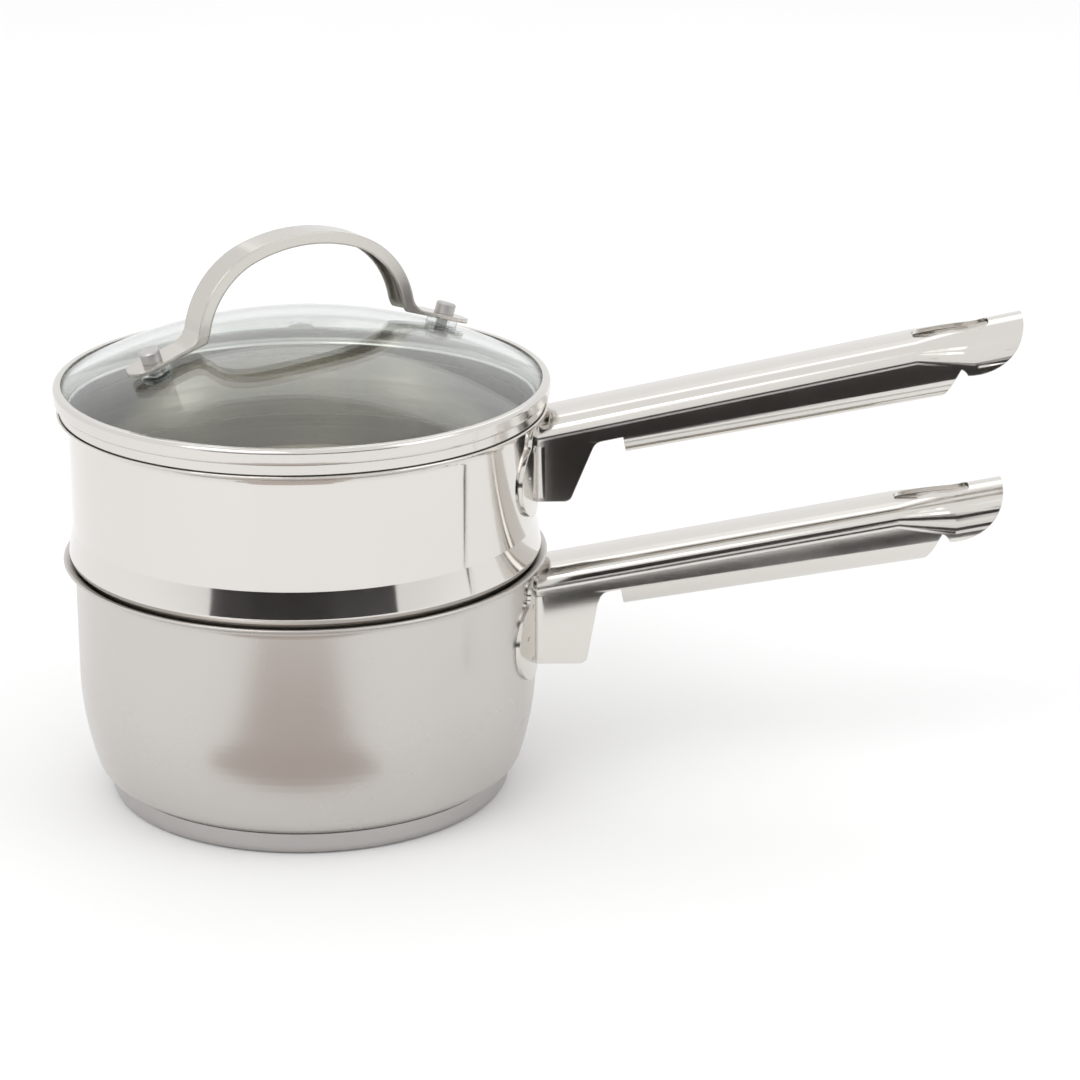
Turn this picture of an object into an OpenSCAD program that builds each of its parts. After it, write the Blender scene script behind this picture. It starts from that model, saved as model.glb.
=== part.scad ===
// Double boiler: a saucepan, an insert pan that seats in its rim, and a domed glass lid.
// Millimetres. The origin is the pan axis on the table, +Z up, and both handles point along +X.

/* [Saucepan] */
// Outside diameter of the straight wall
pan_d = 162; // [150:1:190]
// Thickness of the wall and floor
pan_t = 1; // [0.8:0.1:1.3]
// Height of the rim above the table
pan_rim_z = 87; // [80:1:120]
// Height where the straight wall turns into the belly
belly_z = 46; // [40:1:56]
// Radius of the belly curve
belly_r = 110; // [90:5:140]
// Radius of the corner between belly and floor
pan_corner_r = 7.5; // [6:0.5:12]

/* [Base disc] */
// Thickness of the base under the floor
base_h = 8; // [6:0.5:10]
// Distance from the saucepan's wall in to the side of the base
base_in = 10; // [10:0.5:16]
// Radius of its lower edge
base_edge_r = 3; // [2:0.5:4]
// Thickness of the steel cap round the core
cap_t = 0.8; // [0.5:0.1:1.2]
// Depth of the dark seam between cap and pan
seam_gap = 0.5; // [0.3:0.1:0.8]

/* [Rims] */
// Radius of the flare, along the middle of the sheet
flare_r = 4; // [3:0.25:5]
// Angle that the sheet turns through
flare_turn = 80; // [60:5:88]
// Straight lip after the flare
lip_w = 0.7; // [0.3:0.1:1.5]

/* [Insert pan] */
// How much further out its upper wall is than the saucepan's
insert_over = 0.3; // [0:0.1:0.6]
// Thickness of the wall and floor
insert_t = 0.8; // [0.6:0.1:1.1]
// Height of its rim above the saucepan's rim
insert_rise = 53.4; // [40:0.2:80]
// Height of the flared step, from the crease to its crest
step_h = 9.4; // [7:0.2:14]
// How far the crest stands out from the wall
step_out = 1.6; // [1:0.1:2.2]
// Radius of the crest
crest_r = 1.2; // [1:0.1:1.6]
// Height of the crest's middle above the end of the seat
crest_rise = 1.4; // [1.2:0.1:2]
// Depth of the bowl below the saucepan's rim
bowl_depth = 56; // [40:1:64]
// Radius of the bowl's floor corner
bowl_corner_r = 15; // [8:1:24]
// Gap between the bowl and the saucepan wall
bowl_gap = 1.6; // [1:0.1:3]

/* [Handle sheet] */
// Width of the channel
handle_w = 28; // [25:0.5:32]
// Depth of the channel at the pan
handle_h = 18.2; // [17:0.2:21]
// Depth of the channel near its end
handle_end_h = 23; // [22:0.5:26]
// Thickness of the sheet
handle_t = 1.4; // [1:0.1:1.8]
// Radius of the two top corners
top_corner_r = 6.5; // [4:0.5:8]
// Radius of the turned-in lips
lip_curl_r = 8; // [6:0.5:8.5]
// Opening between the two lips
lip_gap = 12; // [10:0.5:12]
// Arch of the top face
crown = 0.6; // [0.2:0.1:1.2]
// Depth of the flat side, from the top to the lips
side_h = 11.6; // [10.5:0.1:13]
// Radius of the scooped end
end_r = 19; // [16:0.5:22]
// Length of the hanging slot
slot_l = 26; // [18:1:36]
// Width of the hanging slot
slot_w = 11.5; // [8:0.5:13]
// Corner radius of the hanging slot
slot_corner_r = 3.5; // [2:0.5:4]
// Distance from the slot to the tip
slot_from_tip = 11.5; // [9:0.5:20]
// Radius of the bend from the side into the foot
foot_bend_r = 3; // [2:0.5:4]
// Distance from the tip to where the section starts to round
round_start = 37; // [34:1:44]
// Distance from the tip to where it is half round
round_end = 17; // [12:1:24]
// Distance from the pan's wall to the lips
lip_start = 29.5; // [26:0.5:36]
// Slant of the lips' near ends
lip_slant = 3.4; // [2:0.2:6]
// Slant of the lips' far ends
lip_fade = 13; // [8:1:18]
// Radius of the inside curves of the side outline
outline_r = 4; // [3:0.5:5]
// Radius of the corner at the foot of the drop plate
plate_corner_r = 3; // [2:0.5:4]
// How far the middle of the foot's large lobe is out from the side
lobe_out = 5.5; // [4:0.5:7]
// Radius of the foot's small ear
ear_r = 6; // [5:0.5:7]
// How far the middle of the ear is out from the side
ear_out = 3; // [2:0.5:4]
// Radius of a weld pip
weld_r = 1; // [0.6:0.1:1.5]
// Height of a weld pip
weld_h = 0.3; // [0.2:0.1:0.6]

/* [Saucepan handle] */
// Length from the wall to the tip
pan_handle_l = 163.4; // [140:1:200]
// Rise of the handle in degrees
pan_handle_rise = 10.4; // [6:0.1:16]
// Depth of the handle's top below the rim, at the wall
pan_handle_down = 5.2; // [4.8:0.1:8]
// Height of the drop plate below the rim
pan_plate_h = 39; // [34:0.5:44]
// Width of the drop plate at its foot
pan_plate_w = 17.6; // [12:0.2:22]
// Width of the drop plate at its top
pan_plate_top_w = 21.5; // [18:0.5:26]
// Radius of the large lobe of the foot
pan_lobe_r = 14.4; // [12:0.2:15]

/* [Insert handle] */
// Length from the wall to the tip
insert_handle_l = 167.4; // [140:1:200]
// Rise of the handle in degrees
insert_handle_rise = 11.9; // [6:0.1:16]
// Depth of the handle's top below the rim, at the wall
insert_handle_down = 3.6; // [3.4:0.1:6]
// Height of the drop plate below the rim
insert_plate_h = 32.3; // [30:0.1:34]
// Width of the drop plate at its foot
insert_plate_w = 11.4; // [8:0.2:16]
// Width of the drop plate at its top
insert_plate_top_w = 18.4; // [16:0.2:24]
// Radius of the large lobe of the foot
insert_lobe_r = 12.8; // [11:0.2:13]

/* [Lid] */
// How far the rim band stands out past the insert's rim
lid_over = 0.9; // [0.6:0.1:2]
// Thickness of the band sheet
band_t = 0.7; // [0.5:0.1:0.9]
// Height of the band's outer wall
band_h = 5.6; // [5:0.1:7]
// Height of the band's underside above the insert's rim
band_lift = 3.7; // [3:0.1:5]
// Width of the lip over the glass
band_lip_w = 2.8; // [2:0.1:4]
// Height of the dome above its edge
dome_h = 20.4; // [14:0.2:26]
// Thickness of the glass
glass_t = 3.6; // [3:0.1:4]
// Gap between the lid's skirt and the insert wall
skirt_gap = 0.5; // [0.4:0.1:1]
// Depth of the skirt inside the insert's rim
skirt_h = 3.6; // [2.5:0.1:5]
// Radius of the bend into the skirt
skirt_bend_r = 0.8; // [0.5:0.1:1.2]
// Radius of the band's two outer bends
band_bend_r = 1.1; // [0.8:0.1:1.6]
// Distance from the band's side in to its step
step_in = 2.2; // [2:0.1:3]
// Gap between the glass and the band's side
glass_gap = 0.1; // [0.1:0.1:0.4]

/* [Lid handle] */
// Angle of the strap about the pan axis
strap_turn = 31.5; // [0:0.5:180]
// Width of the strap
strap_w = 11; // [9:0.5:14]
// Thickness of the strap sheet
strap_t = 1.5; // [1.2:0.1:2]
// Depth of the turned-down edges
strap_edge = 4.2; // [3:0.2:5]
// Height of the arch above the feet
arch_h = 37.8; // [36:0.2:44]
// Radius of the top of the arch
arch_top_r = 60; // [50:1:80]
// Angle at which the shoulders begin
shoulder_from = 19.5; // [14:0.5:24]
// Radius of the arch's shoulders
arch_shoulder_r = 33.5; // [31:0.5:35]
// Radius of the bend from leg to foot
strap_bend_r = 7; // [5:0.5:8]
// Distance of each rivet from the pan axis
rivet_at = 56; // [54:0.2:60]
// How far a foot is wider than the strap on each side
foot_over = 0.4; // [0.2:0.1:1]
// Length of a foot beyond its rivet
foot_end = 9.5; // [7:0.5:11]
// Diameter of the rivet heads
rivet_d = 7; // [6:0.2:8]
// Height of the rivet heads above the feet
rivet_h = 4; // [3:0.2:7]
// Thickness of the washers under the feet
washer_t = 2.2; // [1:0.1:3]
// Thickness of the washers under the glass
inner_washer_t = 1; // [0.6:0.1:1.5]
// Radius of the rivets' shanks
shank_r = 2; // [1.5:0.1:2.4]
// Gap round the shanks
rivet_gap = 0.1; // [0.05:0.05:0.3]
// Outside radius of the sleeves
sleeve_r = 3; // [2.8:0.1:3.5]
// Bevel of the rivet heads
rivet_bevel = 0.5; // [0.3:0.1:0.8]
// Height of the rivet caps under the glass
rivet_cap_h = 1.6; // [1:0.2:2.4]

/* [Hidden] */
$fn = 128;
// Running gap where one body seats on another
seat = 0.3;
// Overlap that joins two strokes of one sheet
join = 0.02;

pan_r = pan_d / 2;
insert_r = pan_r + insert_over;
insert_rim_z = pan_rim_z + insert_rise;
rim_edge_r = insert_r - insert_t / 2 + flare_r * (1 - cos(flare_turn)) + lip_w * sin(flare_turn);
lid_r = rim_edge_r + insert_t / 2 + lid_over;
// Height that the flare and its edge add above the straight wall
function flare_h(t) = flare_r * sin(flare_turn) + lip_w * cos(flare_turn) + t / 2;

// Points along an arc, close enough that no chord is a hundredth off the curve
function arc_points(centre, r, from, to) =
    let (n = max(2, ceil(abs(to - from) / (2 * acos(1 - 0.01 / r)))))
    [for (i = [0:n]) let (a = from + (to - from) * i / n) centre + r * [cos(a), sin(a)]];

function unit(v) = v / norm(v);
function tail(list) = [for (i = [1:len(list) - 1]) list[i]];

// Left-hand normal at a point of a path, longer in a corner so that a sheet keeps its thickness
function side_at(path, i) =
    let (k = min(max(i, 1), len(path) - 1), m = min(i, len(path) - 2))
    let (before = unit(path[k] - path[k - 1]), after = unit(path[m + 1] - path[m]))
    let (middle = unit(before + after))
    [-middle[1], middle[0]] / (middle * before);

// Outline of a sheet between two distances to the left of a path
function sheet_outline(path, from, to) = concat(
    [for (i = [0:len(path) - 1]) path[i] + from * side_at(path, i)],
    [for (i = [len(path) - 1:-1:0]) path[i] + to * side_at(path, i)]);

// The same round the middle of a sheet, with its far edge rounded
function rounded_outline(path, t) =
    let (last = len(path) - 1, n = side_at(path, last), d = unit(path[last] - path[last - 1]))
    concat([for (i = [0:last]) path[i] + t / 2 * side_at(path, i)],
        [for (k = [1:5]) path[last] + t / 2 * (cos(30 * k) * n + sin(30 * k) * d)],
        [for (i = [last:-1:0]) path[i] - t / 2 * side_at(path, i)]);

// Path of the flared lip of a pan: r is the wall's mid radius, and top is the rim's height
function flare_path(r, t, top) =
    let (arc = arc_points([r + flare_r, top - flare_h(t)], flare_r, 180, 180 - flare_turn))
    concat(arc, [arc[len(arc) - 1] + lip_w * [sin(flare_turn), cos(flare_turn)]]);

// Saucepan: floor, corner, belly, straight wall and lip, along the middle of the sheet
wall_mid = pan_r - pan_t / 2;
floor_mid = base_h + pan_t / 2;
belly_mid = belly_r - pan_t / 2;
corner_mid = pan_corner_r - pan_t / 2;
belly_turn = asin((belly_z - corner_mid - floor_mid) / (belly_mid - corner_mid));
corner_at = [wall_mid - belly_mid + (belly_mid - corner_mid) * cos(belly_turn),
    floor_mid + corner_mid];
pan_path = concat([[0, floor_mid]],
    arc_points(corner_at, corner_mid, -90, -belly_turn),
    tail(arc_points([wall_mid - belly_mid, belly_z], belly_mid, -belly_turn, 0)),
    flare_path(wall_mid, pan_t, pan_rim_z));

module saucepan_shell() {
    color("silver") rotate_extrude() polygon(rounded_outline(pan_path, pan_t));
}

// Base: an aluminium core sealed in a steel cap
base_r = pan_r - base_in;
cap_top = corner_at[1] - sqrt(pow(pan_corner_r, 2) - pow(max(0, base_r - corner_at[0]), 2)) - seam_gap;

// Half section of a disc with a rounded lower edge
module disc_profile(r, bottom, top, edge) {
    translate([0, bottom + edge]) square([r, top - bottom - edge]);
    translate([0, bottom]) square([r - edge, edge + join]);
    translate([r - edge, bottom + edge]) circle(edge);
}

module saucepan_base_core() {
    color("lightgray") rotate_extrude() intersection() {
        disc_profile(base_r - cap_t, cap_t, base_h, base_edge_r - cap_t);
        square([base_r, base_h]);
    }
}

module saucepan_base_cap() {
    color("darkgray") rotate_extrude() difference() {
        intersection() {
            disc_profile(base_r, 0, cap_top, base_edge_r);
            square([base_r, cap_top]);
        }
        intersection() {
            disc_profile(base_r - cap_t, cap_t, cap_top + 1, base_edge_r - cap_t);
            square([base_r, cap_top + 1]);
        }
    }
}

// Insert: flared step, seat in the saucepan's flare, and a bowl that hangs inside
insert_mid = insert_r - insert_t / 2;
crest_mid = crest_r - insert_t / 2;
// The seat is a cone that clears the flare's curved inner side by the running gap
seat_tilt = 32;
flare_at = [wall_mid + flare_r, pan_rim_z - flare_h(pan_t)];
seat_at = flare_at - (flare_r + pan_t / 2 + seat + insert_t / 2) * [cos(seat_tilt), -sin(seat_tilt)];
function seat_z(r) = seat_at[1] + (r - seat_at[0]) / tan(seat_tilt);
seat_top = insert_r + step_out - crest_r + insert_t / 2;
crest_at = [insert_r + step_out - crest_r, seat_z(seat_top) + crest_rise];
crease = [insert_mid, crest_at[1] + step_h];
crease_from_crest = crease - crest_at;
step_tilt = asin(crest_mid / norm(crease_from_crest))
    - atan2(crease_from_crest[0], crease_from_crest[1]);
bowl_mid = pan_r - pan_t - bowl_gap - insert_t / 2;
bowl_floor = pan_rim_z - bowl_depth + insert_t / 2;
bowl_corner = bowl_corner_r - insert_t / 2;
insert_path = concat([[0, bowl_floor]],
    arc_points([bowl_mid - bowl_corner, bowl_floor + bowl_corner], bowl_corner, -90, 0),
    [[bowl_mid, seat_z(bowl_mid)], [seat_top, seat_z(seat_top)]],
    arc_points(crest_at, crest_mid, -12, step_tilt),
    [crease],
    flare_path(insert_mid, insert_t, insert_rim_z));

module insert_shell() {
    color("gainsboro") rotate_extrude() polygon(rounded_outline(insert_path, insert_t));
}

// Handle: one stamped channel with turned-in lips, a drop plate on each side and lobed feet.
// Its cross section hangs from the middle of the top face.
function channel(w, h, rt, rb, arch) = concat(
    arc_points([w / 2 - rt, -rt - arch], rt, 0, 90),
    [for (i = [1:5]) let (u = 1 - i / 3) [u * (w / 2 - rt), -arch * u * u]],
    arc_points([rt - w / 2, -rt - arch], rt, 90, 180),
    arc_points([rb - w / 2, rb - h], rb, 180, 270),
    arc_points([w / 2 - rb, rb - h], rb, 270, 360));

// One cross section of the channel, drawn inset by the given amount
module station(x, z, h, rt, arch, inset) {
    translate([x, 0, z - inset]) rotate([90, 0, 90]) linear_extrude(0.01)
        polygon(channel(handle_w - 2 * inset, h - 2 * inset, rt - inset, lip_curl_r - inset, arch));
}

// Overshoot of the shapes that are trimmed later
past = handle_h / 4;
half_round = handle_w / 2 - 2 * join;

// The full tube of the channel, boxy along the grip and half round at the scooped end
module channel_body(wall, length, top, rise, inset) {
    tip = wall + length;
    xs = [wall - past - inset, tip - round_start, tip - round_end, tip + past + inset];
    rts = [top_corner_r, top_corner_r, half_round, half_round];
    arches = [crown, crown, join, join];
    for (i = [0:2]) hull() for (k = [i, i + 1]) {
        share = (xs[k] - wall) / length;
        station(xs[k], top + (xs[k] - wall) * tan(rise),
            handle_h + (handle_end_h - handle_h) * share, rts[k], arches[k], inset);
    }
}

// Side view of what the stamping keeps: grip, scooped end and drop plate
module side_outline(wall, length, top, rise, plate_z, plate_w, plate_top_w) {
    tip = wall + length;
    slope = tan(rise);
    end = [tip - end_r, top + length * slope];
    low_end = top + (end[0] - wall) * slope - side_h;
    offset(r = -outline_r) offset(delta = outline_r) {
        polygon([[wall - past, top + past], [end[0], end[1] + past], [end[0], low_end],
            [wall - past, top - side_h - past * slope]]);
        offset(r = plate_corner_r) offset(delta = -plate_corner_r) polygon([
            [wall - 3 * past, top - past], [wall + plate_top_w + past, top - past + plate_top_w * slope],
            [wall + plate_top_w, top - side_h], [wall + plate_w, plate_z], [wall - 3 * past, plate_z]]);
        intersection() {
            translate(end) circle(end_r);
            translate([end[0] - join, end[1] - end_r]) square([end_r + join, 2 * end_r]);
        }
    }
    // The top sheet reaches the tip
    polygon([[wall, top + past], [tip - join, end[1] + past], [tip - join, end[1] - handle_t],
        [wall, top - handle_t]]);
    // The lips start past the plate and fade out before the scoop
    lip_from = wall + lip_start;
    lip_to = end[0] - handle_t;
    fold_from = top + lip_start * slope - side_h;
    fold_to = top + (lip_to - wall) * slope - side_h;
    polygon([[lip_from, fold_from + handle_t], [lip_from + lip_slant, fold_from - handle_h],
        [lip_to - lip_fade, fold_to - handle_end_h], [lip_to, fold_to + handle_t]]);
}

// Outline of one foot, seen along the handle: a large lobe, a neck and a small ear
module foot_outline(lobe_r, ear_top, plate_z) {
    lobe_z = plate_z + lobe_r - foot_bend_r;
    neck_w = handle_t + foot_bend_r;
    offset(r = -foot_bend_r) offset(delta = foot_bend_r) {
        translate([handle_w / 2 + lobe_out, lobe_z]) circle(lobe_r);
        translate([handle_w / 2 + ear_out, ear_top - ear_r]) circle(ear_r);
        translate([handle_w / 2 - handle_t, lobe_z]) square([neck_w, ear_top - ear_r - lobe_z]);
    }
}

// The bend from the side sheet into the foot, in plan
module foot_bend(wall) {
    c = [sqrt(pow(wall + handle_t + foot_bend_r, 2) - pow(handle_w / 2 + foot_bend_r, 2)),
        handle_w / 2 + foot_bend_r];
    on_wall = c * (wall - handle_t / 4) / norm(c);
    difference() {
        polygon([[c[0], handle_w / 2 - handle_t], c, on_wall,
            [on_wall[0], handle_w / 2 - handle_t]]);
        translate(c) circle(foot_bend_r);
    }
}

module handle(wall, length, top, rise, plate_z, plate_w, plate_top_w, lobe_r) {
    tip = wall + length;
    slope = tan(rise);
    far = 3 * handle_end_h;
    slot_from = slot_from_tip + slot_l;
    difference() {
        union() {
            intersection() {
                difference() {
                    channel_body(wall, length, top, rise, 0);
                    channel_body(wall, length, top, rise, handle_t);
                    // The opening between the lips
                    translate([0, lip_gap / 2, 0]) rotate([90, 0, 0]) linear_extrude(lip_gap)
                        polygon([[wall - far, top - side_h - far * slope],
                            [tip + far, top + (length + far) * slope - side_h],
                            [tip + far, top - far], [wall - far, top - far]]);
                }
                translate([0, handle_w, 0]) rotate([90, 0, 0]) linear_extrude(2 * handle_w)
                    side_outline(wall, length, top, rise, plate_z, plate_w, plate_top_w);
            }
            for (side = [-1, 1]) {
                translate([0, side * (handle_w - handle_t) / 2 + handle_t / 2, 0]) rotate([90, 0, 0])
                    linear_extrude(handle_t) intersection() {
                        side_outline(wall, length, top, rise, plate_z, plate_w, plate_top_w);
                        translate([wall - past, plate_z - past])
                            square([lip_start + past, top - top_corner_r - crown - plate_z + past]);
                    }
                mirror([0, side < 0 ? 1 : 0, 0]) {
                    foot(wall, top, plate_z, lobe_r);
                }
            }
        }
        translate([0, 0, plate_z - far]) cylinder(r = wall, h = 3 * far);
        // The hanging slot goes through the top sheet alone
        translate([tip - slot_from, -slot_w / 2, top + (length - slot_from) * slope - side_h / 2])
            linear_extrude(far) offset(r = slot_corner_r) offset(delta = -slot_corner_r)
                square([slot_l, slot_w]);
    }
}

// A foot is a patch of tube that lies on the pan's wall, with its bend
module foot(wall, top, plate_z, lobe_r) {
    intersection() {
        translate([0, 0, plate_z - lobe_r]) cylinder(r = wall + handle_t, h = top - plate_z + lobe_r);
        translate([wall / 2, 0, 0]) rotate([90, 0, 90]) linear_extrude(wall)
            foot_outline(lobe_r, top - handle_t / 4, plate_z);
    }
    translate([0, 0, plate_z + handle_t]) linear_extrude(top - side_h + foot_bend_r - plate_z - handle_t)
        foot_bend(wall);
}

// Spot weld pips on the feet, three on each side
module weld_pips(wall, plate_z, lobe_r) {
    spots = [[handle_w / 2 + lobe_out, lobe_r * 1.6], [handle_w / 2 + 2 * lobe_out, lobe_r * 0.9],
        [handle_w / 2 + lobe_out, lobe_r * 0.25]];
    for (side = [-1, 1], s = spots) {
        turn = asin(s[0] / (wall + handle_t));
        rotate([0, 0, side * turn]) translate([wall + handle_t - join, 0, plate_z + s[1]])
            rotate([0, 90, 0]) cylinder(r = weld_r, h = weld_h + join, $fn = 32);
    }
}

pan_plate_z = pan_rim_z - pan_plate_h;
insert_plate_z = insert_rim_z - insert_plate_h;

module saucepan_handle() {
    color("silver") handle(pan_r, pan_handle_l, pan_rim_z - pan_handle_down, pan_handle_rise,
        pan_plate_z, pan_plate_w, pan_plate_top_w, pan_lobe_r);
}

module saucepan_handle_welds() {
    color("gray") weld_pips(pan_r, pan_plate_z, pan_lobe_r);
}

module insert_handle() {
    color("silver") handle(insert_r, insert_handle_l, insert_rim_z - insert_handle_down,
        insert_handle_rise, insert_plate_z, insert_plate_w, insert_plate_top_w, insert_lobe_r);
}

module insert_handle_welds() {
    color("gray") weld_pips(insert_r, insert_plate_z, insert_lobe_r);
}

// Lid: a domed glass whose edge is crimped in a steel band
band_mid = lid_r - band_t / 2;
band_low = insert_rim_z + band_lift + band_t / 2;
band_top = band_low + band_h - band_t;
// The dome's outer face meets the underside of the band's lip
dome_edge_r = lid_r - band_lip_w;
dome_r = (pow(dome_edge_r, 2) + pow(dome_h, 2)) / (2 * dome_h);
dome_centre_z = band_top - band_t / 2 + dome_h - dome_r;
dome_mid = dome_r - glass_t / 2;
glass_edge_r = lid_r - band_t - glass_gap - glass_t / 2;
skirt_mid = insert_r - insert_t - skirt_gap - band_t / 2;
seat_mid = insert_rim_z + seat + band_t / 2;
step_r = lid_r - step_in;
band_path = concat([[dome_edge_r, band_top]],
    arc_points([band_mid - band_bend_r, band_top - band_bend_r], band_bend_r, 90, 0),
    arc_points([band_mid - band_bend_r, band_low + band_bend_r], band_bend_r, 0, -90),
    [[step_r, band_low], [step_r, seat_mid]],
    arc_points([skirt_mid + skirt_bend_r, seat_mid - skirt_bend_r], skirt_bend_r, 90, 180),
    [[skirt_mid, insert_rim_z - skirt_h]]);

module lid_glass() {
    color("lightcyan", 0.35) difference() {
        rotate_extrude() translate([0, dome_centre_z]) {
            intersection() {
                difference() {
                    circle(dome_r, $fn = 360);
                    circle(dome_r - glass_t, $fn = 360);
                }
                polygon([[0, 0], [0, 2 * dome_r], 2 * dome_r * [glass_edge_r / dome_mid,
                    sqrt(1 - pow(glass_edge_r / dome_mid, 2))]]);
            }
            translate([glass_edge_r, sqrt(pow(dome_mid, 2) - pow(glass_edge_r, 2))])
                circle(glass_t / 2, $fn = 48);
        }
        at_rivets() translate([0, 0, -2 * glass_t]) cylinder(r = sleeve_r, h = 3 * glass_t, $fn = 64);
    }
}

module lid_band() {
    color("silver") rotate_extrude() polygon(sheet_outline(band_path, -band_t / 2, band_t / 2));
}

// Rivets stand square to the dome, and z = 0 is its outer face there
rivet_tilt = asin(rivet_at / dome_r);
bore_r = shank_r + rivet_gap;
module at_rivets() {
    for (half_turn = [0, 180])
        rotate([0, 0, strap_turn + half_turn]) translate([0, 0, dome_centre_z])
            rotate([0, rivet_tilt, 0]) translate([0, 0, dome_r]) children();
}

// Strap: its outer face, from the top of the arch to the end of the right foot
foot_along = [cos(rivet_tilt), -sin(rivet_tilt)];
foot_up = [sin(rivet_tilt), cos(rivet_tilt)];
foot_at = [0, dome_centre_z] + (dome_r + washer_t + strap_t) * foot_up;
arch_top_at = [0, foot_at[1] + arch_h - arch_top_r];
shoulder_at = arch_top_at + (arch_top_r - arch_shoulder_r) * [sin(shoulder_from), cos(shoulder_from)];
// The bend touches both the shoulder's arc and the flat foot
bend_from = foot_at + strap_bend_r * foot_up - shoulder_at;
bend_slide = -bend_from * foot_along + sqrt(pow(bend_from * foot_along, 2) - bend_from * bend_from
    + pow(arch_shoulder_r + strap_bend_r, 2));
bend_at = shoulder_at + bend_from + bend_slide * foot_along;
leg_angle = atan2(bend_at[1] - shoulder_at[1], bend_at[0] - shoulder_at[0]);
arch_path = concat(arc_points(arch_top_at, arch_top_r, 90, 90 - shoulder_from),
    tail(arc_points(shoulder_at, arch_shoulder_r, 90 - shoulder_from, leg_angle)),
    tail(arc_points(bend_at, strap_bend_r, 180 + leg_angle, 270 - rivet_tilt)));
function both_sides(path) = concat([for (i = [len(path) - 1:-1:1]) [-path[i][0], path[i][1]]], path);
strap_path = both_sides(concat(arch_path, [foot_at - 2 * shank_r * foot_along]));

// Draws a profile of the strap's own plane as a solid of the given width
module across(w) {
    translate([0, w / 2, 0]) rotate([90, 0, 0]) linear_extrude(w) children();
}

module turned_edges() {
    low = foot_at - strap_t * foot_up;
    low_mid = low[1] + low[0] * tan(rivet_tilt);
    low_end = low_mid - lid_r * tan(rivet_tilt);
    high = foot_at[1] + 2 * arch_h;
    intersection() {
        polygon(sheet_outline(both_sides(arch_path), -strap_edge, 0));
        polygon([[-lid_r, low_end], [0, low_mid], [lid_r, low_end], [lid_r, high], [-lid_r, high]]);
    }
}

module foot_plate() {
    end_r = strap_w / 2 + foot_over;
    translate([0, 0, washer_t]) linear_extrude(strap_t) {
        translate([foot_end - end_r, 0]) circle(end_r, $fn = 64);
        translate([-end_r, -end_r]) square([foot_end, 2 * end_r]);
    }
}

module lid_strap() {
    color("silver") difference() {
        union() {
            rotate([0, 0, strap_turn]) {
                across(strap_w) polygon(sheet_outline(strap_path, -strap_t, 0));
                for (side = [-1, 1]) translate([0, side * (strap_w - strap_t) / 2, 0])
                    across(strap_t) turned_edges();
            }
            at_rivets() foot_plate();
        }
        at_rivets() cylinder(r = bore_r, h = 10, $fn = 64);
    }
}

module lid_rivets() {
    color("darkgray") at_rivets() {
        translate([0, 0, washer_t + strap_t]) cylinder(r = rivet_d / 2, h = rivet_h - rivet_bevel, $fn = 64);
        translate([0, 0, washer_t + strap_t + rivet_h - rivet_bevel])
            cylinder(r1 = rivet_d / 2, r2 = rivet_d / 2 - rivet_bevel, h = rivet_bevel, $fn = 64);
        translate([0, 0, under]) cylinder(r = shank_r, h = washer_t + strap_t - under + join, $fn = 64);
    }
}

// A washer with its own bore
module ring(r, bore, z, h) {
    translate([0, 0, z]) difference() {
        cylinder(r = r, h = h, $fn = 64);
        translate([0, 0, -h]) cylinder(r = bore, h = 3 * h, $fn = 64);
    }
}

// The inner washers sit just clear of the dome's hollow face
under_washer = -glass_t - rivet_gap;
under = under_washer - inner_washer_t;

module lid_outer_washers() {
    color("whitesmoke") at_rivets() ring(strap_w / 2, bore_r, 0, washer_t);
}

module lid_glass_sleeves() {
    color("whitesmoke") at_rivets() ring(sleeve_r, bore_r, -glass_t, glass_t);
}

module lid_inner_washers() {
    color("whitesmoke") at_rivets() ring(strap_w / 2, bore_r, under, inner_washer_t);
}

module lid_rivet_caps() {
    color("silver") at_rivets() translate([0, 0, under - rivet_cap_h])
        cylinder(r = rivet_d / 2 + inner_washer_t, h = rivet_cap_h, $fn = 64);
}

saucepan_shell();
saucepan_base_core();
saucepan_base_cap();
saucepan_handle();
saucepan_handle_welds();
insert_shell();
insert_handle();
insert_handle_welds();
lid_glass();
lid_band();
lid_strap();
lid_rivets();
lid_outer_washers();
lid_glass_sleeves();
lid_inner_washers();
lid_rivet_caps();
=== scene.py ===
import math

import bpy
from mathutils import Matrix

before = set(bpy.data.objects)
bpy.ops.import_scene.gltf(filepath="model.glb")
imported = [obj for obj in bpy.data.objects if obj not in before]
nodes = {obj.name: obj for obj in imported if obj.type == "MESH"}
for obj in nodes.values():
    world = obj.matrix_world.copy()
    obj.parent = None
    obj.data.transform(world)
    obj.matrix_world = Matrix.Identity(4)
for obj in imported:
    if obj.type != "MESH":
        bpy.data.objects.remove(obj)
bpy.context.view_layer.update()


# Values that all the finishes share
finish = {
    "noiseLow": 0.3, "noiseHigh": 0.7,  # the part of a noise's range that is put to use
    "grainDetail": 4.0, "grainRoughness": 0.6, "grainDepth": 0.0001,  # fine polishing lines
    "ringDetail": 3.0, "ringDepth": 0.00005, "ringSpread": 0.06,  # lines brushed round the axis
    "turnFrom": 0.1, "turnTo": -0.1,  # where a shell's outside turns into its inside
    "edgeSamples": 4,
}


# A fresh material, with its node tree and its shader
def newMaterial(name):
    mat = bpy.data.materials.new(name)
    mat.use_nodes = True
    return mat, mat.node_tree, mat.node_tree.nodes["Principled BSDF"]


# Adds one node: sockets among the inputs are linked, and other values are set
def addNode(tree, kind, inputs=None, **settings):
    node = tree.nodes.new(kind)
    for key, value in settings.items():
        setattr(node, key, value)
    for key, value in (inputs or {}).items():
        if isinstance(value, bpy.types.NodeSocket):
            tree.links.new(value, node.inputs[key])
        else:
            node.inputs[key].default_value = value
    return node


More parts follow.
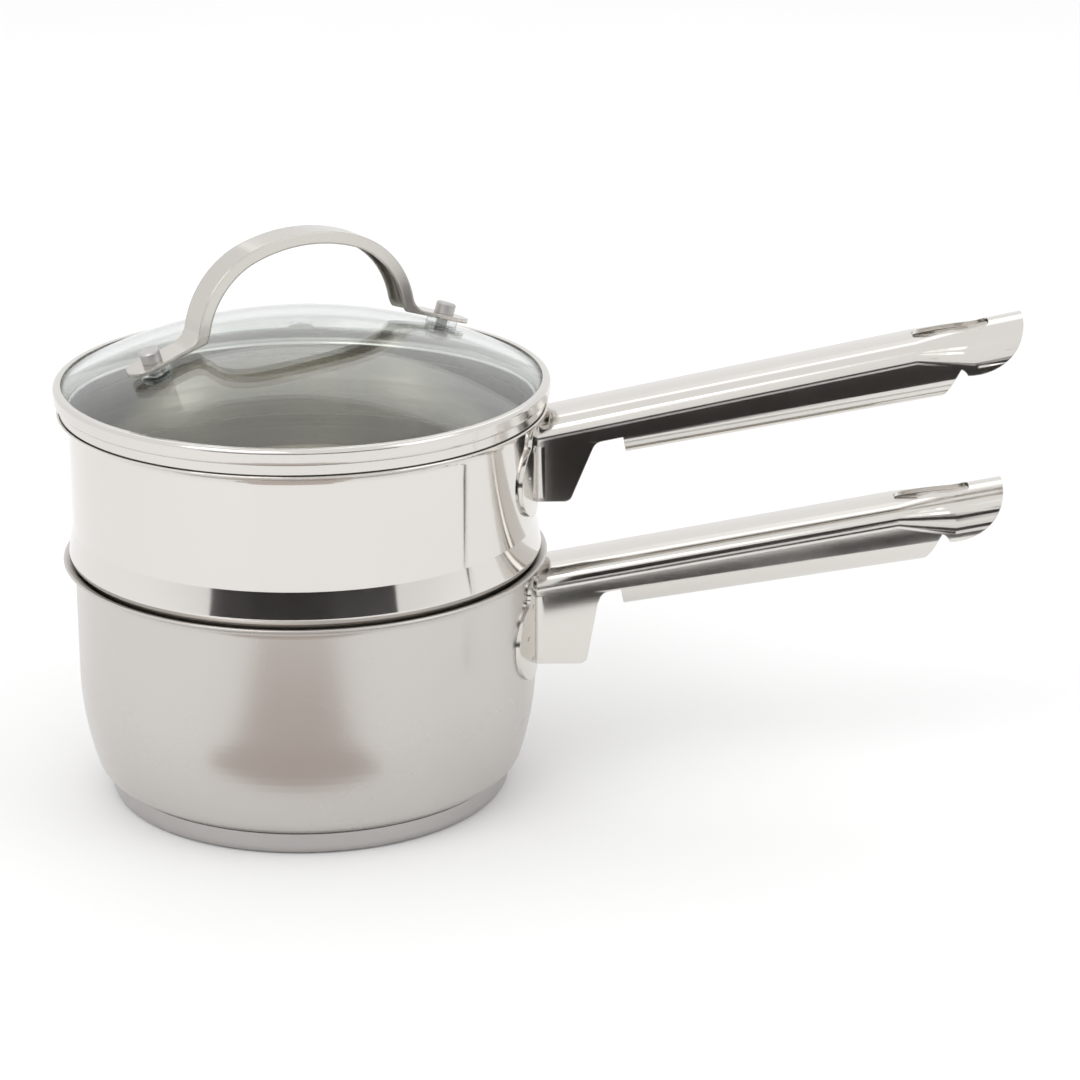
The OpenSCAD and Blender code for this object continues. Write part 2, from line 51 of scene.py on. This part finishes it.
# Spreads a noise over the values from low to high
def spreadNoise(tree, noise, low, high):
    spread = addNode(tree, "ShaderNodeMapRange",
                     {"Value": noise.outputs["Fac"], "From Min": finish["noiseLow"],
                      "From Max": finish["noiseHigh"], "To Min": low, "To Max": high})
    return spread.outputs["Result"]


# A value that wanders between low and high with a noise of the given scale
def noiseRange(tree, vector, scale, low, high, detail=3.0):
    noise = addNode(tree, "ShaderNodeTexNoise", {"Vector": vector, "Scale": scale, "Detail": detail})
    return spreadNoise(tree, noise, low, high)


def objectCoords(tree, scale=(1, 1, 1)):
    coords = addNode(tree, "ShaderNodeTexCoord")
    mapping = addNode(tree, "ShaderNodeMapping", {"Vector": coords.outputs["Object"], "Scale": scale})
    return mapping.outputs["Vector"]


# Fine relief, on edges that are softened by the given radius
def addBump(tree, shader, height, strength, distance, edgeRadius):
    soft = addNode(tree, "ShaderNodeBevel", {"Radius": edgeRadius},
                   samples=finish["edgeSamples"])
    bump = addNode(tree, "ShaderNodeBump",
                   {"Height": height, "Strength": strength, "Distance": distance,
                    "Normal": soft.outputs["Normal"]})
    tree.links.new(bump.outputs["Normal"], shader.inputs["Normal"])


# Steel: colour, how rough it is, and which way the fine polishing lines run
def steelMaterial(name, look):
    mat, tree, shader = newMaterial(name)
    shader.inputs["Metallic"].default_value = 1.0
    shader.inputs["Base Color"].default_value = (*look["colour"], 1)
    vector = objectCoords(tree)
    rough = noiseRange(tree, vector, look["patchScale"], look["roughLow"], look["roughHigh"])
    grainVector = objectCoords(tree, look["grainStretch"])
    grain = addNode(tree, "ShaderNodeTexNoise",
                    {"Vector": grainVector, "Scale": look["grainScale"],
                     "Detail": finish["grainDetail"], "Roughness": finish["grainRoughness"]})
    mixed = addNode(tree, "ShaderNodeMath", {0: grain.outputs["Fac"], 1: look["grainRough"]},
                    operation="MULTIPLY")
    total = addNode(tree, "ShaderNodeMath", {0: rough, 1: mixed.outputs["Value"]}, operation="ADD")
    tree.links.new(total.outputs["Value"], shader.inputs["Roughness"])
    addBump(tree, shader, grain.outputs["Fac"], look["bump"], finish["grainDepth"],
            look["edgeRadius"])
    return mat


# Shell steel: polished outside, and brushed in rings on the faces that look at the axis
def shellMaterial(name, look):
    mat, tree, shader = newMaterial(name)
    shader.inputs["Metallic"].default_value = 1.0
    coords = addNode(tree, "ShaderNodeTexCoord")
    geometry = addNode(tree, "ShaderNodeNewGeometry")
    radial = addNode(tree, "ShaderNodeVectorMath",
                     {0: coords.outputs["Object"], 1: (1, 1, 0)}, operation="MULTIPLY")
    unitRadial = addNode(tree, "ShaderNodeVectorMath", {0: radial.outputs["Vector"]},
                         operation="NORMALIZE")
    facing = addNode(tree, "ShaderNodeVectorMath",
                     {0: unitRadial.outputs["Vector"], 1: geometry.outputs["True Normal"]},
                     operation="DOT_PRODUCT")
    inside = addNode(tree, "ShaderNodeMapRange",
                     {"Value": facing.outputs["Value"], "From Min": finish["turnFrom"],
                      "From Max": finish["turnTo"]})
    fromAxis = addNode(tree, "ShaderNodeVectorMath", {0: radial.outputs["Vector"]},
                       operation="LENGTH")
    split = addNode(tree, "ShaderNodeSeparateXYZ", {0: coords.outputs["Object"]})
    ringVector = addNode(tree, "ShaderNodeCombineXYZ",
                         {"X": fromAxis.outputs["Value"], "Z": split.outputs["Z"]})
    rings = addNode(tree, "ShaderNodeTexNoise",
                    {"Vector": ringVector.outputs["Vector"], "Scale": look["ringScale"],
                     "Detail": finish["ringDetail"]})
    patches = noiseRange(tree, coords.outputs["Object"], look["patchScale"],
                         look["roughLow"], look["roughHigh"])
    insideRough = spreadNoise(tree, rings, look["insideRough"] - finish["ringSpread"],
                              look["insideRough"] + finish["ringSpread"])
    rough = addNode(tree, "ShaderNodeMix",
                    {0: inside.outputs["Result"], 2: patches, 3: insideRough})
    tree.links.new(rough.outputs[0], shader.inputs["Roughness"])
    colour = addNode(tree, "ShaderNodeMix",
                     {0: inside.outputs["Result"], 6: (*look["colour"], 1),
                      7: (*look["insideColour"], 1)}, data_type="RGBA")
    tree.links.new(colour.outputs[2], shader.inputs["Base Color"])
    addBump(tree, shader, rings.outputs["Fac"], look["bump"], finish["ringDepth"],
            look["edgeRadius"])
    return mat


# Clear glass or plastic, which lets light through to what lies under it
def glassMaterial(name, look):
    mat, tree, shader = newMaterial(name)
    shader.inputs["Base Color"].default_value = (*look["colour"], 1)
    shader.inputs["Transmission Weight"].default_value = 1.0
    shader.inputs["IOR"].default_value = look["refraction"]
    rough = noiseRange(tree, objectCoords(tree), look["patchScale"], look["roughLow"],
                       look["roughHigh"])
    tree.links.new(rough, shader.inputs["Roughness"])
    clear = addNode(tree, "ShaderNodeBsdfTransparent", {"Color": (*look["shadowTint"], 1)})
    path = addNode(tree, "ShaderNodeLightPath")
    mix = addNode(tree, "ShaderNodeMixShader",
                  {0: path.outputs["Is Shadow Ray"], 1: shader.outputs["BSDF"],
                   2: clear.outputs["BSDF"]})
    tree.links.new(mix.outputs["Shader"], tree.nodes["Material Output"].inputs["Surface"])
    return mat


insertShell = {
    "colour": (0.70, 0.675, 0.645), "insideColour": (0.66, 0.63, 0.58),
    "roughLow": 0.07, "roughHigh": 0.12, "insideRough": 0.22,
    "patchScale": 24.0, "ringScale": 900.0, "bump": 0.03, "edgeRadius": 0.0002,
}
saucepanShell = {
    "colour": (0.58, 0.555, 0.53), "insideColour": (0.54, 0.52, 0.50),
    "roughLow": 0.24, "roughHigh": 0.29, "insideRough": 0.34,
    "patchScale": 20.0, "ringScale": 2200.0, "bump": 0.06, "edgeRadius": 0.0002,
}
handleSteel = {
    "colour": (0.70, 0.675, 0.64), "roughLow": 0.09, "roughHigh": 0.14, "patchScale": 26.0,
    "grainStretch": (4, 60, 60), "grainScale": 40.0, "grainRough": 0.04, "bump": 0.03,
    "edgeRadius": 0.0004,
}
strapSteel = {
    "colour": (0.60, 0.575, 0.54), "roughLow": 0.10, "roughHigh": 0.15, "patchScale": 40.0,
    "grainStretch": (30, 30, 60), "grainScale": 40.0, "grainRough": 0.06, "bump": 0.05,
    "edgeRadius": 0.0009,
}
bandSteel = {
    "colour": (0.68, 0.66, 0.63), "roughLow": 0.09, "roughHigh": 0.14, "patchScale": 30.0,
    "grainStretch": (20, 20, 80), "grainScale": 40.0, "grainRough": 0.04, "bump": 0.03,
    "edgeRadius": 0.0003,
}
baseSteel = {
    "colour": (0.50, 0.485, 0.475), "roughLow": 0.26, "roughHigh": 0.34, "patchScale": 22.0,
    "grainStretch": (2, 2, 90), "grainScale": 40.0, "grainRough": 0.08, "bump": 0.08,
    "edgeRadius": 0.0003,
}
rivetMetal = {
    "colour": (0.52, 0.51, 0.50), "roughLow": 0.34, "roughHigh": 0.46, "patchScale": 120.0,
    "grainStretch": (60, 60, 60), "grainScale": 40.0, "grainRough": 0.08, "bump": 0.2,
    "edgeRadius": 0.0005,
}
domeGlass = {
    "colour": (0.93, 0.965, 0.945), "shadowTint": (0.86, 0.90, 0.88),
    "roughLow": 0.0, "roughHigh": 0.012, "patchScale": 14.0, "refraction": 1.5,
}
clearPlastic = {
    "colour": (0.93, 0.95, 0.94), "shadowTint": (0.85, 0.87, 0.86),
    "roughLow": 0.12, "roughHigh": 0.22, "patchScale": 14.0, "refraction": 1.5,
}


# Gives the named CAD nodes one material
def dress(material, *names):
    for name in names:
        data = nodes[name].data
        data.materials.clear()
        data.materials.append(material)


# The CAD meshes keep their shape: only their shading is smoothed below a crease angle
def smoothShading(name, creaseDegrees=28):
    data = nodes[name].data
    for face in data.polygons:
        face.use_smooth = True
    piece = nodes[name]
    bpy.context.view_layer.objects.active = piece
    for other in bpy.context.selected_objects:
        other.select_set(False)
    piece.select_set(True)
    bpy.ops.object.shade_smooth_by_angle(angle=math.radians(creaseDegrees))
    piece.select_set(False)


dress(shellMaterial("insert shell steel", insertShell), "insert_shell")
dress(shellMaterial("saucepan shell steel", saucepanShell), "saucepan_shell")
dress(steelMaterial("handle steel", handleSteel), "insert_handle", "saucepan_handle",
      "insert_handle_welds", "saucepan_handle_welds")
dress(steelMaterial("strap steel", strapSteel), "lid_strap")
dress(steelMaterial("band steel", bandSteel), "lid_band")
dress(steelMaterial("base steel", baseSteel), "saucepan_base_cap", "saucepan_base_core")
dress(steelMaterial("rivet aluminium", rivetMetal), "lid_rivets", "lid_rivet_caps")
dress(glassMaterial("dome glass", domeGlass), "lid_glass")
dress(glassMaterial("clear plastic", clearPlastic), "lid_outer_washers", "lid_glass_sleeves",
      "lid_inner_washers")
for name in nodes:
    smoothShading(name)
print("dressed", len(nodes), "nodes")


# Studio: pale floor, white surround, soft lamps, and dark cards that only the metal sees
studio = {
    "worldLight": 0.98,
    "floorSize": 12.0, "floorColour": (0.93, 0.93, 0.93), "floorPatchScale": 3.0,
    "floorShade": (0.985, 1.0), "floorRoughness": 0.9, "floorSpecular": 0.1,
    "cardTint": (1.0, 0.9, 0.84), "cardPatchScale": 5.0, "cardRoughness": (0.8, 1.0),
}
cards = {  # name: how light it is, and its corners from the lower left round to the upper left
    "horizon card": (0.02, [(-1.2, -1.35, 0.0), (1.34, -1.35, 0.0),
                            (1.34, -1.35, 0.30), (-1.2, -1.35, 0.30)]),
    "upper handle card": (0.03, [(0.083, -0.06, 0.086), (0.27, -0.06, 0.138),
                                 (0.27, -0.06, 0.159), (0.083, -0.06, 0.122)]),
    "lower handle card": (0.03, [(0.083, -0.06, 0.0505), (0.26, -0.06, 0.083),
                                 (0.26, -0.06, 0.090), (0.083, -0.06, 0.0585)]),
    "floor card": (0.55, [(-0.09, -0.33, 0.0006), (0.07, -0.33, 0.0006),
                          (0.06, -0.11, 0.0006), (-0.08, -0.11, 0.0006)]),
}
lamps = {  # name: place, width, height and power
    "key lamp": ((-0.7, -0.9, 1.4), 1.0, 1.0, 6.0),
    "fill lamp": ((1.1, -0.5, 1.0), 0.8, 0.8, 2.0),
    "back lamp": ((0.1, 1.2, 1.3), 1.4, 0.7, 2.0),
}
lampTarget = (0, 0, 0.1)


def quad(name, corners):
    mesh = bpy.data.meshes.new(name)
    mesh.from_pydata(corners, [], [(0, 1, 2, 3)])
    obj = bpy.data.objects.new(name, mesh)
    bpy.context.scene.collection.objects.link(obj)
    return obj


def makeFloor():
    half = studio["floorSize"] / 2
    floor = quad("floor", [(-half, -half, 0), (half, -half, 0), (half, half, 0), (-half, half, 0)])
    mat, tree, shader = newMaterial("pale floor")
    colour = noiseRange(tree, objectCoords(tree), studio["floorPatchScale"], *studio["floorShade"])
    tint = addNode(tree, "ShaderNodeMix", {0: 1.0, 6: (*studio["floorColour"], 1), 7: colour},
                   data_type="RGBA", blend_type="MULTIPLY")
    tree.links.new(tint.outputs[2], shader.inputs["Base Color"])
    shader.inputs["Roughness"].default_value = studio["floorRoughness"]
    shader.inputs["Specular IOR Level"].default_value = studio["floorSpecular"]
    floor.data.materials.append(mat)


# A card that only the metal sees
def makeCard(name, shade, corners):
    card = quad(name, corners)
    mat, tree, shader = newMaterial(name)
    shader.inputs["Base Color"].default_value = (*(shade * tint for tint in studio["cardTint"]), 1)
    rough = noiseRange(tree, objectCoords(tree), studio["cardPatchScale"], *studio["cardRoughness"])
    tree.links.new(rough, shader.inputs["Roughness"])
    card.data.materials.append(mat)
    card.visible_camera = False
    card.visible_diffuse = False
    card.visible_shadow = False
    card.visible_transmission = False


# A soft rectangular lamp, turned towards the target
def makeLamp(name, place, width, height, power):
    data = bpy.data.lights.new(name, "AREA")
    data.shape = "RECTANGLE"
    data.size = width
    data.size_y = height
    data.energy = power
    lamp = bpy.data.objects.new(name, data)
    lamp.location = place
    away = [t - p for t, p in zip(lampTarget, place)]
    yaw = math.atan2(away[0], away[1])
    pitch = math.atan2(math.hypot(away[0], away[1]), -away[2])
    lamp.rotation_euler = (pitch, 0, -yaw)
    bpy.context.scene.collection.objects.link(lamp)


# The camera, the metal and the glass see plain white, and the rest gets the studio's light
def makeWorld():
    world = bpy.data.worlds.new("studio")
    bpy.context.scene.world = world
    world.use_nodes = True
    tree = world.node_tree
    tree.nodes.clear()
    path = addNode(tree, "ShaderNodeLightPath")
    seen = addNode(tree, "ShaderNodeMath",
                   {0: path.outputs["Is Camera Ray"], 1: path.outputs["Is Glossy Ray"]},
                   operation="MAXIMUM")
    seenToo = addNode(tree, "ShaderNodeMath",
                      {0: seen.outputs["Value"], 1: path.outputs["Is Transmission Ray"]},
                      operation="MAXIMUM")
    strength = addNode(tree, "ShaderNodeMapRange",
                       {"Value": seenToo.outputs["Value"], "To Min": studio["worldLight"],
                        "To Max": 1.0})
    light = addNode(tree, "ShaderNodeBackground", {"Color": (1, 1, 1, 1),
                                                   "Strength": strength.outputs["Result"]})
    addNode(tree, "ShaderNodeOutputWorld", {"Surface": light.outputs["Background"]})


makeFloor()
for cardName, (shade, corners) in cards.items():
    makeCard(cardName, shade, corners)
for lampName, (place, width, height, power) in lamps.items():
    makeLamp(lampName, place, width, height, power)
makeWorld()
print("studio ready")


# Camera at the photograph's own place, heading and pitch: metres, degrees and millimetres
view = {
    "place": (0.0704, -1.1513, 0.4857), "tilt": 71.0, "heading": -0.60,
    "lens": 115.0, "sensorWidth": 36.0, "clipStart": 0.01,
}
cameraData = bpy.data.cameras.new("camera")
cameraData.lens = view["lens"]
cameraData.sensor_width = view["sensorWidth"]
cameraData.clip_start = view["clipStart"]
camera = bpy.data.objects.new("camera", cameraData)
camera.location = view["place"]
camera.rotation_euler = (math.radians(view["tilt"]), 0, math.radians(view["heading"]))
bpy.context.scene.collection.objects.link(camera)
bpy.context.scene.camera = camera
bpy.context.scene.view_settings.view_transform = "Standard"
